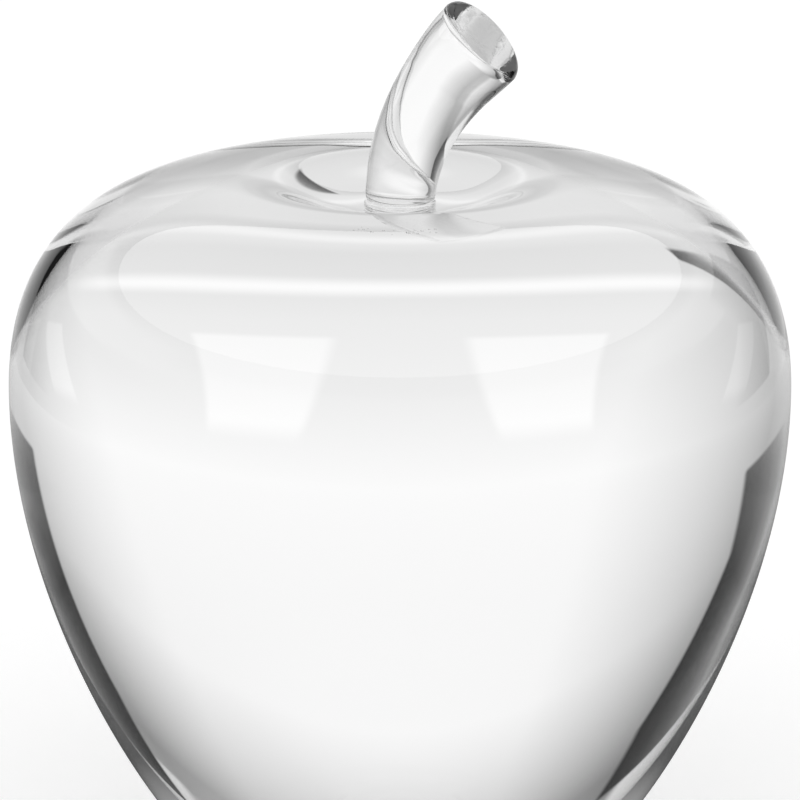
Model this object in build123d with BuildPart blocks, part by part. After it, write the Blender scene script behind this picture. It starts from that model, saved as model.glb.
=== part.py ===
"""Solid clear glass apple ornament, about 102 mm high.

Origin: centre of the flat polished base, on the surface that the apple stands on.
+Z is up, and the stem leans towards +X.
"""

import os

from build123d import *

# Glass body
body_diameter = 90.0
body_height = 80.8
widest_height = 56.2
base_diameter = 45.0
base_edge_radius = 0.8
dimple_diameter = 37.8
dimple_depth = 3.5

# Stem, a curved rod drawn out of a bit of hot glass
foot_diameter = 8.2
foot_collar_height = 0.9
foot_collar_edge = 0.35
neck_diameter = 7.8
stem_reach = 10.8
stem_rise = 20.8
tip_diameter = 11.4
tip_edge_radius = 0.9
shear_tilt = 8.0

# How full the curves of the body are, as shares of the stretch that each one spans
dimple_floor_share = 0.45
dimple_rim_share = 0.42
shoulder_flat_share = 0.54
shoulder_drop_share = 0.76
side_drop_share = 0.46
heel_run_share = 0.28
heel_rise_share = 0.08

# Centre line of the stem, as shares of its reach and its rise
stem_upright_share = 0.45
stem_bend_shares = (0.50, 0.75)

# Where the stem swells, along its centre line, and how far from neck size to tip size
swell_places_shares = (0, 0.12, 0.35, 0.60, 0.82, 1)
swell_shares = (0, 0.10, 0.32, 0.62, 0.93, 1)
shear_place_share = 0.95

body_radius = body_diameter / 2
base_radius = base_diameter / 2
crest_radius = dimple_diameter / 2
seat_radius = foot_diameter / 2
seat_height = body_height - dimple_depth

os.makedirs("parts", exist_ok=True)


# Glass body: a solid of revolution with a shallow dimple, and a flat seat for the stem in it
dimple_run = crest_radius - seat_radius
shoulder_run = body_radius - crest_radius
shoulder_drop = body_height - widest_height
side_run = body_radius - base_radius

with BuildPart() as glass_body:
    with BuildSketch(Plane.XZ):
        with BuildLine():
            base_centre = (0, 0)
            base_corner = (base_radius, 0)
            widest_point = (body_radius, widest_height)
            crest_point = (crest_radius, body_height)
            seat_corner = (seat_radius, seat_height)
            seat_centre = (0, seat_height)
            Line(base_centre, base_corner)
            Bezier(
                base_corner,
                (base_radius + heel_run_share * side_run, heel_rise_share * widest_height),
                (body_radius, widest_height - side_drop_share * widest_height),
                widest_point,
            )
            Bezier(
                widest_point,
                (body_radius, widest_height + shoulder_drop_share * shoulder_drop),
                (crest_radius + shoulder_flat_share * shoulder_run, body_height),
                crest_point,
            )
            Bezier(
                crest_point,
                (crest_radius - dimple_rim_share * dimple_run, body_height),
                (seat_radius + dimple_floor_share * dimple_run, seat_height),
                seat_corner,
            )
            Line(seat_corner, seat_centre)
            Line(seat_centre, base_centre)
        make_face()
    revolve(axis=Axis.Z)
    base_edge = glass_body.edges().filter_by(GeomType.CIRCLE).sort_by(Axis.Z)[0]
    fillet(base_edge, base_edge_radius)

glass_body.part.label = "glass_body"
export_step(glass_body.part, "parts/glass_body.step")


# Stem: a loft along a curved centre line, sheared off at the tip, on a low round collar
with BuildLine(Plane.XZ) as stem_line:
    Bezier(
        (0, seat_height),
        (0, seat_height + stem_upright_share * stem_rise),
        (stem_bend_shares[0] * stem_reach, seat_height + stem_bend_shares[1] * stem_rise),
        (stem_reach, seat_height + stem_rise),
    )
centre_line = stem_line.edges()[0]


def section_plane(place):
    """Plane square to the centre line, whose X axis lies in the plane that the stem bends in."""
    tangent = centre_line % place
    return Plane(origin=centre_line @ place, x_dir=Vector(0, 1, 0).cross(tangent), z_dir=tangent)


def section_radius(swell):
    """Radius of the rod, from neck size (0) to tip size (1)."""
    return (neck_diameter + swell * (tip_diameter - neck_diameter)) / 2


with BuildPart() as glass_stem:
    for place, swell in zip(swell_places_shares, swell_shares):
        with BuildSketch(section_plane(place)):
            Circle(section_radius(swell))
    loft()
    split(bisect_by=section_plane(shear_place_share).rotated((shear_tilt, 0, 0)), keep=Keep.BOTTOM)
    fillet(glass_stem.edges().sort_by(Axis.Z)[-1], tip_edge_radius)
    with BuildSketch(Plane.XZ) as collar_half:
        with Locations((0, seat_height)):
            Rectangle(seat_radius, foot_collar_height, align=(Align.MIN, Align.MIN))
        collar_rim = collar_half.vertices().sort_by(Axis.X)[-2:].sort_by(Axis.Z)[-1]
        fillet(collar_rim, foot_collar_edge)
    revolve(axis=Axis.Z)

glass_stem.part.label = "glass_stem"
export_step(glass_stem.part, "parts/glass_stem.step")

for piece in (glass_body, glass_stem):
    box = piece.part.bounding_box()
    print(piece.part.label, "solids", len(piece.part.solids()), "box", box.min, box.max)
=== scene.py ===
import math
import random

import bmesh
import bpy
from mathutils import Matrix, Vector


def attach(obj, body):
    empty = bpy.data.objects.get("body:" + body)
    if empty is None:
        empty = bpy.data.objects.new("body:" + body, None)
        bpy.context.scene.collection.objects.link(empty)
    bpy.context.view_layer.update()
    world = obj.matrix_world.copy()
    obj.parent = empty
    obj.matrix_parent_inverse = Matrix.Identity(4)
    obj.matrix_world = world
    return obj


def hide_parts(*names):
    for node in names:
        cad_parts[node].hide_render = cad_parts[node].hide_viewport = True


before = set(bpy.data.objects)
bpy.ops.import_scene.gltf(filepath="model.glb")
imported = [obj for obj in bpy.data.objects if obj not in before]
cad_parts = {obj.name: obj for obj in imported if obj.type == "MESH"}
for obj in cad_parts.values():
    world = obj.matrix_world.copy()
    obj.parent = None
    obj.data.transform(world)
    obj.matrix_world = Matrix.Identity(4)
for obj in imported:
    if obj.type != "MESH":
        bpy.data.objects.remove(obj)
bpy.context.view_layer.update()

MM = 0.001

# Glass body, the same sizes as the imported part
BODY_RADIUS = 45.0 * MM
BODY_HEIGHT = 80.8 * MM
WIDEST_HEIGHT = 56.2 * MM
BASE_RADIUS = 22.5 * MM
BASE_EDGE_RADIUS = 0.8 * MM
CREST_RADIUS = 18.9 * MM
SEAT_HEIGHT = 77.3 * MM
SEAT_RADIUS = 4.1 * MM
DIMPLE_FLOOR_SHARE = 0.45
DIMPLE_RIM_SHARE = 0.42
SHOULDER_FLAT_SHARE = 0.54
SHOULDER_DROP_SHARE = 0.76
SIDE_DROP_SHARE = 0.46
HEEL_RUN_SHARE = 0.28
HEEL_RISE_SHARE = 0.08

# how finely the body is divided
BODY_AROUND = 256
SIDE_STEPS = 120
SHOULDER_STEPS = 120
DIMPLE_STEPS = 60
BASE_EDGE_STEPS = 12
# height left free between the rounded base edge and the next ring
BASE_EDGE_CLEAR = 0.05 * MM
BASE_RING_SHARES = (0.02, 0.25, 0.5, 0.75, 0.93)
SEAT_RING_SHARES = (1, 0.6, 0.2, 0.02)

# Tiny air seeds on an arc inside the glass, in front of the stem
SEED_COUNT = 24
SEED_ARC_CENTRE = -14.4 * MM
SEED_ARC_RADIUS = 8.3 * MM
SEED_ARC_REACH = math.radians(38)
SEED_SPREAD = 0.8 * MM
SEED_HEIGHT = 78.3 * MM
SEED_RADII = (0.06 * MM, 0.20 * MM)
# how often each sphere is subdivided, and the seed of the random draws
SEED_ROUNDNESS = 2
SEED_DRAW = 7

# Stem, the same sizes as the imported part
COLLAR_HEIGHT = 0.9 * MM
COLLAR_EDGE = 0.35 * MM
NECK_RADIUS = 3.9 * MM
TIP_RADIUS = 5.7 * MM
STEM_REACH = 10.8 * MM
STEM_RISE = 20.8 * MM
STEM_UPRIGHT_SHARE = 0.45
STEM_BEND_SHARES = (0.50, 0.75)
SWELL_PLACES = (0, 0.12, 0.35, 0.60, 0.82, 1)
SWELL_SHARES = (0, 0.10, 0.32, 0.62, 0.93, 1)
SHEAR_PLACE = 0.95
SHEAR_TILT = math.radians(8)
TIP_EDGE = 0.9 * MM

# what only the mesh has: the foot sinks into the seat, a short slope leads from collar to neck,
# and the cut turns a little to the front and lies a little lower
COLLAR_SINK = 0.02 * MM
NECK_RUN = 0.25 * MM
TIP_YAW = 0.13
TIP_SLUMP = 0.022
# length of the stem's line near the tip, per unit of its place, rounded up
TIP_SPEED = 24 * MM
# last share of the stem, over which its rings tilt towards the cut
TILT_RUN_SHARE = 0.3

# how finely the stem is divided
STEM_AROUND = 96
STEM_STEPS = 90
COLLAR_EDGE_STEPS = 6
TIP_EDGE_STEPS = 10
COLLAR_RING_SHARES = (0.02, 0.5, 0.9, 1)
CUT_RING_SHARES = (0.8, 0.6, 0.4, 0.2, 0.01)
# last rings, which carry the skin of the cut
CUT_RINGS = 7

# Glass. Waves left by the hot glass and pebbled skin of the cut: size, detail and height
GLASS_IOR = 1.52
BODY_WAVE = (14 * MM, 1, 0.020 * MM)
STEM_WAVE = (5 * MM, 2, 0.030 * MM)
CUT_GRAIN = (1.3 * MM, 3, 0.07 * MM)

# World: plain level that lights the scene, white, and what shows through the glass by the
# upward share of the direction. Here and below, shades are pairs of a place and a level.
WORLD_LEVEL = 0.8
WHITE = 1.0
SKY_SHADES = [(-1, 1.0), (0.0, 1.0), (0.1, 0.9), (0.4, 0.06), (0.62, 0.08), (0.75, 0.8), (1, 1.0)]

# Light level of floor and wall as the glass shows them, by heading in degrees
ROUND_SHADES = [
    (-180, 0.75), (-90, 0.8), (-55, 0.43), (-15, 1),
    (27, 1), (58, 0.68), (90, 0.85), (180, 0.75),
]

# Floor as the camera sees it
FLOOR_HALF = 4.0
FLOOR_GAP = 0.05 * MM
FLOOR_COLOUR = (0.85, 0.85, 0.85, 1)
FLOOR_ROUGHNESS = 0.9
FLOOR_GLOW = 0.36

# Floor through the glass and in reflections, by distance from the axis in mm: it glows darker near
# the object, a painted shade
FLOOR_SHADES = [(0, 0.6), (34, 0.6), (56, 0.8), (61, 0.74), (100, 0.85), (250, 1)]
FLOOR_GLOSS = [(0, 0.05), (100, 0.10), (150, 0.30), (300, 0.8), (600, 1)]
# painted rings of brighter light on the floor behind the object: radius, half width and gain, and
# headings where they fade out
FLOOR_LIGHT_RINGS = ((54, 3, 0.12), (80, 7, 0.20))
RING_FADE = (40, 15)

# Pairs of pale patches of painted light round the floor. Each edge is a line: degrees from the
# pair's middle per mm of distance, and degrees at the axis. Near and far ends are in mm.
WINDOW_SPAN = 45
# spans that put a pair straight behind the object and keep the count above zero
WINDOW_START = 8.5
WINDOW_INNER = (0.045, -2.5)
WINDOW_OUTER = (0.032, 6.9)
WINDOW_SOFT = 0.4
WINDOW_NEAR = (109, 113)
WINDOW_FAR = (200, 175)
WINDOW_GAIN = 0.10

# Strip of painted shade on the floor, behind and to the left, in mm. Far edge and nose are lines:
# depth gained per mm to the left, and depth at the axis. The strip fades towards the object.
STRIP_EDGE = (0.11, 63)
STRIP_EDGE_SOFT = 0.8
STRIP_NOSE = (0.8, 50.6)
STRIP_NOSE_SOFT = 0.7
STRIP_FADE = (15, 3)
STRIP_NEAR = 62
STRIP_NEAR_SOFT = 1.2
STRIP_REACH = (150, 85)
STRIP_LEVEL = 0.05

# Round light wall. A soft pool of light lies behind the object, with a dark flag on each side.
WALL_RADIUS = 300 * MM
WALL_HEIGHT = 260 * MM
WALL_AROUND = 256
# by height in mm: behind the object, and round the front, and headings where they change over
WALL_SHADES = [(0, 1), (50, 1), (120, 0.5), (145, 0.6), (160, 0.95), (215, 0.95), (260, 0.1)]
FRONT_SHADES = [(0, 1), (60, 1), (170, 0.5), (200, 0.1), (260, 0.1)]
FRONT_START = (95, 125)
# height in mm at which the pool of light is half as wide as at the floor
POOL_TAPER = 220
# bright patches above the flags, between these headings and heights
PATCH_HEADINGS = ((34, 38), (95, 70))
PATCH_HEIGHTS = ((140, 150), (245, 215))
PATCH_LEVEL = 0.9
# inner edges of the flags in degrees, by height in mm
LEFT_FLAG = [(15, 43), (50, 42), (100, 32), (260, 30)]
RIGHT_FLAG = [(15, 52), (110, 42), (260, 39)]
# a colour ramp holds 0 to 1, so the degrees are divided by this in it
FLAG_SCALE = 100
# levels of the flags and where they end, by degrees past the inner edge
FLAG_SHADES = [(0, 0.03), (6, 0.06), (12, 0.14), (18, 0.30), (24, 0.65)]
FLAG_REACH = (26, 20)
FLAG_EDGE_SOFT = 1.0
LEFT_FLAG_TOP = 145
RIGHT_FLAG_TOP = 188
FLAG_TOP_SOFT = 3
FLAG_FOOT = 17
FLAG_FOOT_SOFT = 1.5

# Camera, at the photograph's angle. Sensor and lens are in millimetres, as Blender takes them.
CAMERA_SENSOR = 36
CAMERA_LENS = 210.4
CAMERA_TILT = math.radians(16)
CAMERA_AWAY = 540 * MM
CAMERA_AIM = WIDEST_HEIGHT - 1.83 * MM
CAMERA_CLIP = (0.01, 20)

# how often a ray may bounce, in all and through glass, and by reflection
GLASS_BOUNCES = 24
GLOSSY_BOUNCES = 8


def bezier(p0, p1, p2, p3, steps):
    # points on the curve, from its start to one step before its end
    points = []
    for i in range(steps):
        t = i / steps
        s = 1 - t
        points.append(tuple(
            s**3 * a + 3 * s * s * t * b + 3 * s * t * t * c + t**3 * d
            for a, b, c, d in zip(p0, p1, p2, p3)
        ))
    return points


def circle(radius, height, around):
    angles = (2 * math.pi * k / around for k in range(around))
    return [(radius * math.cos(a), radius * math.sin(a), height) for a in angles]


def ring_faces(rings, around, capped=True):
    # quads between rings of points that follow each other, and a cap at each end
    faces = []
    for low in range(0, (rings - 1) * around, around):
        for k in range(around):
            n = (k + 1) % around
            faces.append((low + k, low + n, low + around + n, low + around + k))
    if capped:
        faces.append(tuple(reversed(range(around))))
        faces.append(tuple(range((rings - 1) * around, rings * around)))
    return faces


def add_object(name, verts, faces):
    mesh = bpy.data.meshes.new(name)
    mesh.from_pydata(verts, [], faces)
    mesh.update()
    ob = bpy.data.objects.new(name, mesh)
    bpy.context.scene.collection.objects.link(ob)
    return ob


def base_edge(side):
    # arc that rounds the corner of base and side, tangent to both
    slope = math.atan2(side[2][1] - side[0][1], side[2][0] - side[0][0])
    r = BASE_EDGE_RADIUS
    cut = r / math.tan((math.pi - slope) / 2)
    centre = (BASE_RADIUS - cut, r)
    arc = []
    for i in range(BASE_EDGE_STEPS + 1):
        a = -math.pi / 2 + slope * i / BASE_EDGE_STEPS
        arc.append((centre[0] + r * math.cos(a), centre[1] + r * math.sin(a)))
    return arc


def body_profile():
    # radius and height, from the middle of the base to the middle of the seat
    side_run = BODY_RADIUS - BASE_RADIUS
    shoulder_run = BODY_RADIUS - CREST_RADIUS
    shoulder_drop = BODY_HEIGHT - WIDEST_HEIGHT
    dimple_run = CREST_RADIUS - SEAT_RADIUS
    side = bezier(
        (BASE_RADIUS, 0),
        (BASE_RADIUS + HEEL_RUN_SHARE * side_run, HEEL_RISE_SHARE * WIDEST_HEIGHT),
        (BODY_RADIUS, WIDEST_HEIGHT * (1 - SIDE_DROP_SHARE)),
        (BODY_RADIUS, WIDEST_HEIGHT),
        SIDE_STEPS,
    )
    shoulder = bezier(
        (BODY_RADIUS, WIDEST_HEIGHT),
        (BODY_RADIUS, WIDEST_HEIGHT + SHOULDER_DROP_SHARE * shoulder_drop),
        (CREST_RADIUS + SHOULDER_FLAT_SHARE * shoulder_run, BODY_HEIGHT),
        (CREST_RADIUS, BODY_HEIGHT),
        SHOULDER_STEPS,
    )
    dimple = bezier(
        (CREST_RADIUS, BODY_HEIGHT),
        (CREST_RADIUS - DIMPLE_RIM_SHARE * dimple_run, BODY_HEIGHT),
        (SEAT_RADIUS + DIMPLE_FLOOR_SHARE * dimple_run, SEAT_HEIGHT),
        (SEAT_RADIUS, SEAT_HEIGHT),
        DIMPLE_STEPS,
    )
    base = [(BASE_RADIUS * share, 0) for share in BASE_RING_SHARES]
    arc = base_edge(side)
    side = [p for p in side if p[1] > arc[-1][1] + BASE_EDGE_CLEAR]
    seat = [(SEAT_RADIUS * share, SEAT_HEIGHT) for share in SEAT_RING_SHARES]
    return base + arc + side + shoulder + dimple + seat


def add_seeds(mesh):
    # small spheres whose faces look inward, so the glass ends at them
    rng = random.Random(SEED_DRAW)
    bm = bmesh.new()
    bm.from_mesh(mesh)
    for _ in range(SEED_COUNT):
        a = rng.uniform(-SEED_ARC_REACH, SEED_ARC_REACH)
        r = SEED_ARC_RADIUS + rng.uniform(-SEED_SPREAD, SEED_SPREAD)
        place = Matrix.Translation((r * math.sin(a), SEED_ARC_CENTRE - r * math.cos(a), SEED_HEIGHT))
        made = bmesh.ops.create_icosphere(
            bm, subdivisions=SEED_ROUNDNESS, radius=rng.uniform(*SEED_RADII), matrix=place
        )
        faces = {f for v in made["verts"] for f in v.link_faces}
        bmesh.ops.reverse_faces(bm, faces=list(faces))
    bm.to_mesh(mesh)
    bm.free()


def make_body():
    profile = body_profile()
    verts = []
    for radius, height in profile:
        verts += circle(radius, height, BODY_AROUND)
    ob = add_object("crystal_body", verts, ring_faces(len(profile), BODY_AROUND))
    add_seeds(ob.data)
    ob.data.shade_smooth()
    return ob


def stem_point(t):
    # point and direction at place t on the stem's line, where 0 is its start and 1 its end
    p0 = Vector((0, 0, SEAT_HEIGHT))
    p1 = Vector((0, 0, SEAT_HEIGHT + STEM_UPRIGHT_SHARE * STEM_RISE))
    p2 = Vector((STEM_BEND_SHARES[0] * STEM_REACH, 0, SEAT_HEIGHT + STEM_BEND_SHARES[1] * STEM_RISE))
    p3 = Vector((STEM_REACH, 0, SEAT_HEIGHT + STEM_RISE))
    s = 1 - t
    p = s**3 * p0 + 3 * s * s * t * p1 + 3 * s * t * t * p2 + t**3 * p3
    d = 3 * s * s * (p1 - p0) + 6 * s * t * (p2 - p1) + 3 * t * t * (p3 - p2)
    return p, d.normalized()


def smooth_share(x, xs, ys):
    # smooth curve through the pairs of xs and ys, each slope taken from the neighbours
    def slope(j):
        before, after = max(j - 1, 0), min(j + 1, len(xs) - 1)
        return (ys[after] - ys[before]) / (xs[after] - xs[before])

    i = max(0, min(len(xs) - 2, sum(1 for v in xs[1:-1] if x >= v)))
    run = xs[i + 1] - xs[i]
    t = (x - xs[i]) / run
    t2, t3 = t * t, t * t * t
    start = (2 * t3 - 3 * t2 + 1) * ys[i] + (t3 - 2 * t2 + t) * (slope(i) * run)
    return start + (-2 * t3 + 3 * t2) * ys[i + 1] + (t3 - t2) * (slope(i + 1) * run)


def stem_radius(t):
    return NECK_RADIUS + smooth_share(t, SWELL_PLACES, SWELL_SHARES) * (TIP_RADIUS - NECK_RADIUS)


def stem_ring(centre, tangent, radius, tilt=0.0):
    # ring square to the tangent, or slid along it into the plane of a tilted cut
    depth = Vector((0, 1, 0))
    side = depth.cross(tangent).normalized()
    up = tangent.cross(side)
    if tilt:
        normal = Matrix.Rotation(tilt, 3, side) @ tangent
        normal = (normal - depth * TIP_YAW * tilt / SHEAR_TILT).normalized()
    points = []
    for k in range(STEM_AROUND):
        a = 2 * math.pi * k / STEM_AROUND
        p = centre + side * math.cos(a) * radius + up * math.sin(a) * radius
        if tilt:
            p = p - tangent * ((p - centre).dot(normal) / tangent.dot(normal))
        points.append(tuple(p))
    return points


def collar_points():
    upright = Vector((0, 0, 1))
    foot = Vector((0, 0, SEAT_HEIGHT - COLLAR_SINK))
    points = []
    for share in COLLAR_RING_SHARES:
        points += stem_ring(foot, upright, SEAT_RADIUS * share)
    for i in range(COLLAR_EDGE_STEPS + 1):
        a = math.pi / 2 * i / COLLAR_EDGE_STEPS
        height = SEAT_HEIGHT + COLLAR_HEIGHT - COLLAR_EDGE + COLLAR_EDGE * math.sin(a)
        radius = SEAT_RADIUS - COLLAR_EDGE + COLLAR_EDGE * math.cos(a)
        points += stem_ring(Vector((0, 0, height)), upright, radius)
    return points


def rod_points(cut_place):
    # the line starts upright, and its first stretch rises by this much per unit of place
    first_speed = 3 * STEM_UPRIGHT_SHARE * STEM_RISE
    start = (COLLAR_HEIGHT + NECK_RUN) / first_speed
    last = cut_place - TIP_EDGE / TIP_SPEED
    points = []
    for i in range(STEM_STEPS + 1):
        t = start + (last - start) * i / STEM_STEPS
        centre, tangent = stem_point(t)
        tilt = SHEAR_TILT * max(0, (t / last - (1 - TILT_RUN_SHARE)) / TILT_RUN_SHARE)
        points += stem_ring(centre, tangent, stem_radius(t), tilt)
    return points


def cut_points(cut_place):
    # rounded edge, then the face of the cut
    centre, tangent = stem_point(cut_place)
    radius = stem_radius(cut_place)
    points = []
    for i in range(1, TIP_EDGE_STEPS + 1):
        a = math.pi / 2 * i / TIP_EDGE_STEPS
        below = centre - tangent * TIP_EDGE * (1 - math.sin(a))
        points += stem_ring(below, tangent, radius - TIP_EDGE * (1 - math.cos(a)), SHEAR_TILT)
    for share in CUT_RING_SHARES:
        points += stem_ring(centre, tangent, (radius - TIP_EDGE) * share, SHEAR_TILT)
    return points


def make_stem():
    cut_place = SHEAR_PLACE - TIP_SLUMP
    verts = collar_points() + rod_points(cut_place) + cut_points(cut_place)
    ob = add_object("crystal_stem", verts, ring_faces(len(verts) // STEM_AROUND, STEM_AROUND))
    skin = STEM_AROUND * CUT_RINGS
    on_stem = [1.0] * len(verts)
    on_cut = [0.0] * (len(verts) - skin) + [1.0] * skin
    for name, values in (("stem", on_stem), ("cut", on_cut)):
        ob.data.attributes.new(name, "FLOAT", "POINT").data.foreach_set("value", values)
    ob.data.shade_smooth()
    return ob


def feed(nt, socket, value):
    # a number or colour is set on the socket, and an output is linked to it
    if isinstance(value, (int, float, tuple)):
        socket.default_value = value
    else:
        nt.links.new(value, socket)


def maths(nt, operation, *values):
    node = nt.nodes.new("ShaderNodeMath")
    node.operation = operation
    for socket, value in zip(node.inputs, values):
        feed(nt, socket, value)
    return node.outputs[0]


def product(nt, first, *others):
    for value in others:
        first = maths(nt, "MULTIPLY", first, value)
    return first


def mixed(nt, share, first, second):
    node = nt.nodes.new("ShaderNodeMix")
    for name, value in (("Factor", share), ("A", first), ("B", second)):
        feed(nt, node.inputs[name], value)
    return node.outputs["Result"]


def ramp(nt, value, stops, scale=1):
    # level at value, on straight lines between stops that run from lowest to highest
    low, high = stops[0][0], stops[-1][0]
    place = nt.nodes.new("ShaderNodeMapRange")
    place.inputs["From Min"].default_value = low
    place.inputs["From Max"].default_value = high
    nt.links.new(value, place.inputs["Value"])
    node = nt.nodes.new("ShaderNodeValToRGB")
    elements = node.color_ramp.elements
    for at, _ in stops[1:-1]:
        elements.new((at - low) / (high - low))
    for element, (_, level) in zip(elements, stops):
        element.color = (level / scale,) * 3 + (1,)
    nt.links.new(place.outputs["Result"], node.inputs[0])
    if scale == 1:
        return node.outputs["Color"]
    return maths(nt, "MULTIPLY", node.outputs["Color"], scale)


def step(nt, value, start, end):
    # 0 at start and 1 at end, whichever is the higher, with a smooth change between them
    node = nt.nodes.new("ShaderNodeMapRange")
    node.interpolation_type = "SMOOTHSTEP"
    node.inputs["From Min"].default_value = min(start, end)
    node.inputs["From Max"].default_value = max(start, end)
    if end < start:
        node.inputs["To Min"].default_value = 1
        node.inputs["To Max"].default_value = 0
    nt.links.new(value, node.inputs["Value"])
    return node.outputs["Result"]


def edge(nt, value, at, soft):
    return step(nt, value, at - soft, at + soft)


def line(nt, value, slope, start):
    return maths(nt, "MULTIPLY_ADD", value, slope, start)


def parts_of(nt, place):
    split = nt.nodes.new("ShaderNodeSeparateXYZ")
    nt.links.new(place, split.inputs[0])
    return split.outputs["X"], split.outputs["Y"], split.outputs["Z"]


def heading(nt, x, y):
    # degrees round from straight behind the object, to the right
    return maths(nt, "MULTIPLY", maths(nt, "ARCTAN2", x, y), 180 / math.pi)


def distance(nt, place):
    # millimetres from the foot of the axis
    node = nt.nodes.new("ShaderNodeVectorMath")
    node.operation = "LENGTH"
    nt.links.new(place, node.inputs[0])
    return maths(nt, "DIVIDE", node.outputs["Value"], MM)


def relief(nt, place, size, detail, height):
    node = nt.nodes.new("ShaderNodeTexNoise")
    node.inputs["Scale"].default_value = 1 / size
    node.inputs["Detail"].default_value = detail
    nt.links.new(place, node.inputs["Vector"])
    return maths(nt, "MULTIPLY", node.outputs[0], height)


def attribute(nt, name):
    node = nt.nodes.new("ShaderNodeAttribute")
    node.attribute_name = name
    return node.outputs["Fac"]


def new_material(name):
    m = bpy.data.materials.new(name)
    m.use_nodes = True
    m.node_tree.nodes.clear()
    return m, m.node_tree, m.node_tree.nodes.new("ShaderNodeOutputMaterial")


def glass_material():
    m, nt, out = new_material("clear_crystal")
    glass = nt.nodes.new("ShaderNodeBsdfPrincipled")
    glass.inputs["Base Color"].default_value = (1, 1, 1, 1)
    glass.inputs["Roughness"].default_value = 0
    glass.inputs["IOR"].default_value = GLASS_IOR
    glass.inputs["Transmission Weight"].default_value = 1
    place = nt.nodes.new("ShaderNodeTexCoord").outputs["Object"]
    body = relief(nt, place, *BODY_WAVE)
    stem = relief(nt, place, *STEM_WAVE)
    cut = relief(nt, place, *CUT_GRAIN)
    height = mixed(nt, attribute(nt, "stem"), body, stem)
    height = maths(nt, "MULTIPLY_ADD", attribute(nt, "cut"), cut, height)
    # the heights are in metres already, so the distance is 1
    bump = nt.nodes.new("ShaderNodeBump")
    bump.inputs["Distance"].default_value = 1
    nt.links.new(height, bump.inputs["Height"])
    nt.links.new(bump.outputs["Normal"], glass.inputs["Normal"])
    nt.links.new(glass.outputs[0], out.inputs["Surface"])
    return m


def make_world():
    # white to the camera and in reflections; the glass shows the sky's shades by refraction
    world = bpy.data.worlds.new("studio")
    bpy.context.scene.world = world
    world.use_nodes = True
    nt = world.node_tree
    nt.nodes.clear()
    out = nt.nodes.new("ShaderNodeOutputWorld")
    background = nt.nodes.new("ShaderNodeBackground")
    background.inputs["Color"].default_value = (1, 1, 1, 1)
    ray = nt.nodes.new("ShaderNodeLightPath").outputs
    upward = parts_of(nt, nt.nodes.new("ShaderNodeTexCoord").outputs["Generated"])[2]
    seen = maths(nt, "MAXIMUM", ray["Is Camera Ray"], ray["Is Glossy Ray"])
    plain = mixed(nt, seen, WORLD_LEVEL, WHITE)
    level = mixed(nt, ray["Is Transmission Ray"], plain, ramp(nt, upward, SKY_SHADES))
    nt.links.new(level, background.inputs["Strength"])
    nt.links.new(background.outputs[0], out.inputs[0])


# painted shade: a dark strip on the floor's glow, seen only in the glass
def floor_shade_strip(nt, x, y, away):
    aside = maths(nt, "DIVIDE", x, -MM)
    depth = maths(nt, "DIVIDE", y, MM)
    before_edge = maths(nt, "SUBTRACT", line(nt, aside, *STRIP_EDGE), depth)
    before_nose = maths(nt, "SUBTRACT", line(nt, aside, *STRIP_NOSE), depth)
    return product(
        nt,
        edge(nt, before_edge, 0, STRIP_EDGE_SOFT),
        step(nt, before_edge, *STRIP_FADE),
        edge(nt, before_nose, 0, STRIP_NOSE_SOFT),
        edge(nt, away, STRIP_NEAR, STRIP_NEAR_SOFT),
        step(nt, away, *STRIP_REACH),
    )


# painted light: pairs of pale patches on the floor's glow, seen only in the glass
def floor_light_patches(nt, turn, away):
    part = maths(nt, "FRACT", maths(nt, "MULTIPLY_ADD", turn, 1 / WINDOW_SPAN, WINDOW_START))
    off_middle = maths(nt, "ABSOLUTE", maths(nt, "SUBTRACT", part, 0.5))
    aside = maths(nt, "MULTIPLY", off_middle, WINDOW_SPAN)
    inner = maths(nt, "SUBTRACT", aside, line(nt, away, *WINDOW_INNER))
    outer = maths(nt, "SUBTRACT", line(nt, away, *WINDOW_OUTER), aside)
    across = product(nt, edge(nt, inner, 0, WINDOW_SOFT), edge(nt, outer, 0, WINDOW_SOFT))
    deep = product(nt, step(nt, away, *WINDOW_NEAR), step(nt, away, *WINDOW_FAR))
    return product(nt, across, deep)


# the floor's glow as the glass shows it: painted shade near the object, painted rings and patches of
# light, and a painted dark strip
def floor_level(nt, place):
    x, y, _ = parts_of(nt, place)
    turn = heading(nt, x, y)
    away = distance(nt, place)
    level = ramp(nt, away, FLOOR_SHADES)
    # painted rings of brighter light behind the object
    behind = step(nt, maths(nt, "ABSOLUTE", turn), *RING_FADE)
    for radius, half, gain in FLOOR_LIGHT_RINGS:
        off = maths(nt, "ABSOLUTE", maths(nt, "SUBTRACT", away, radius))
        level = maths(nt, "MULTIPLY_ADD", product(nt, behind, step(nt, off, half, 0)), gain, level)
    level = maths(nt, "MULTIPLY_ADD", floor_light_patches(nt, turn, away), WINDOW_GAIN, level)
    level = product(nt, level, ramp(nt, turn, ROUND_SHADES))
    return mixed(nt, floor_shade_strip(nt, x, y, away), level, STRIP_LEVEL)


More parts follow.
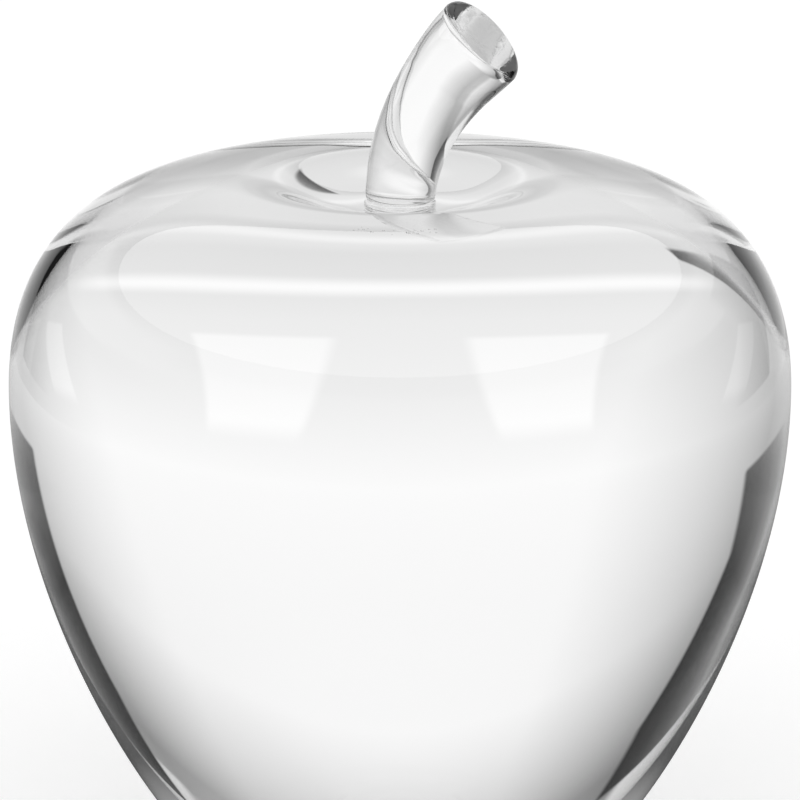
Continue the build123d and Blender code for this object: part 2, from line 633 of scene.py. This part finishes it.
def make_floor():
    # plain and pale, with the object's shadow; to refraction and reflection it glows instead, with
    # painted light and shade of its own
    corners = [(-1, -1), (1, -1), (1, 1), (-1, 1)]
    verts = [(FLOOR_HALF * x, FLOOR_HALF * y, -FLOOR_GAP) for x, y in corners]
    ob = add_object("studio_floor", verts, [(0, 1, 2, 3)])
    m, nt, out = new_material("pale_floor")
    plain = nt.nodes.new("ShaderNodeBsdfPrincipled")
    plain.inputs["Base Color"].default_value = FLOOR_COLOUR
    plain.inputs["Roughness"].default_value = FLOOR_ROUGHNESS
    plain.inputs["Specular IOR Level"].default_value = 0
    plain.inputs["Emission Color"].default_value = (1, 1, 1, 1)
    plain.inputs["Emission Strength"].default_value = FLOOR_GLOW
    place = nt.nodes.new("ShaderNodeTexCoord").outputs["Object"]
    ray = nt.nodes.new("ShaderNodeLightPath").outputs
    gloss = ramp(nt, distance(nt, place), FLOOR_GLOSS)
    level = mixed(nt, ray["Is Transmission Ray"], gloss, floor_level(nt, place))
    glow = nt.nodes.new("ShaderNodeEmission")
    nt.links.new(level, glow.inputs["Strength"])
    by_glass = maths(nt, "MAXIMUM", ray["Is Transmission Ray"], ray["Is Glossy Ray"])
    mix = nt.nodes.new("ShaderNodeMixShader")
    for socket, output in zip(mix.inputs, (by_glass, plain.outputs[0], glow.outputs[0])):
        nt.links.new(output, socket)
    nt.links.new(mix.outputs[0], out.inputs["Surface"])
    ob.data.materials.append(m)


def wall_level(nt, place):
    x, y, z = parts_of(nt, place)
    turn = heading(nt, x, y)
    aside = maths(nt, "ABSOLUTE", turn)
    height = maths(nt, "DIVIDE", z, MM)
    shades = [ramp(nt, height, stops) for stops in (WALL_SHADES, FRONT_SHADES)]
    level = mixed(nt, step(nt, aside, *FRONT_START), *shades)
    spread = maths(nt, "MULTIPLY", turn, line(nt, height, 1 / POOL_TAPER, 1))
    level = product(nt, level, ramp(nt, spread, ROUND_SHADES))
    patch = [step(nt, aside, *ends) for ends in PATCH_HEADINGS]
    patch += [step(nt, height, *ends) for ends in PATCH_HEIGHTS]
    level = mixed(nt, product(nt, *patch), level, PATCH_LEVEL)
    left = maths(nt, "LESS_THAN", turn, 0)
    edges = [ramp(nt, height, stops, scale=FLAG_SCALE) for stops in (RIGHT_FLAG, LEFT_FLAG)]
    past = maths(nt, "SUBTRACT", aside, mixed(nt, left, *edges))
    below_top = maths(nt, "SUBTRACT", mixed(nt, left, RIGHT_FLAG_TOP, LEFT_FLAG_TOP), height)
    flag = product(
        nt,
        edge(nt, past, 0, FLAG_EDGE_SOFT),
        step(nt, past, *FLAG_REACH),
        edge(nt, height, FLAG_FOOT, FLAG_FOOT_SOFT),
        edge(nt, below_top, 0, FLAG_TOP_SOFT),
    )
    return mixed(nt, flag, level, ramp(nt, past, FLAG_SHADES))


def make_wall():
    # the wall shows only in the glass, as camera, diffuse and shadow rays pass it by
    verts = circle(WALL_RADIUS, 0, WALL_AROUND) + circle(WALL_RADIUS, WALL_HEIGHT, WALL_AROUND)
    ob = add_object("studio_wall", verts, ring_faces(2, WALL_AROUND, capped=False))
    m, nt, out = new_material("light_wall")
    glow = nt.nodes.new("ShaderNodeEmission")
    place = nt.nodes.new("ShaderNodeTexCoord").outputs["Object"]
    nt.links.new(wall_level(nt, place), glow.inputs["Strength"])
    nt.links.new(glow.outputs[0], out.inputs["Surface"])
    ob.data.materials.append(m)
    ob.visible_camera = False
    ob.visible_diffuse = False
    ob.visible_shadow = False
    ob.visible_volume_scatter = False


def make_camera():
    camera = bpy.data.cameras.new("camera")
    ob = bpy.data.objects.new("camera", camera)
    bpy.context.scene.collection.objects.link(ob)
    camera.sensor_width = CAMERA_SENSOR
    camera.lens = CAMERA_LENS
    camera.clip_start, camera.clip_end = CAMERA_CLIP
    back = Vector((0, -math.cos(CAMERA_TILT), math.sin(CAMERA_TILT)))
    ob.location = Vector((0, 0, CAMERA_AIM)) + back * CAMERA_AWAY
    ob.rotation_mode = "QUATERNION"
    ob.rotation_quaternion = (-back).to_track_quat("-Z", "Y")
    bpy.context.scene.camera = ob


glass = glass_material()
body = make_body()
stem = make_stem()
for piece, node in ((body, "glass_body"), (stem, "glass_stem")):
    piece.data.materials.append(glass)
    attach(piece, "root")
    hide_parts(node)
make_world()
make_floor()
make_wall()
make_camera()
scene = bpy.context.scene
scene.view_settings.view_transform = "Standard"
scene.cycles.max_bounces = GLASS_BOUNCES
scene.cycles.transmission_bounces = GLASS_BOUNCES
scene.cycles.glossy_bounces = GLOSSY_BOUNCES
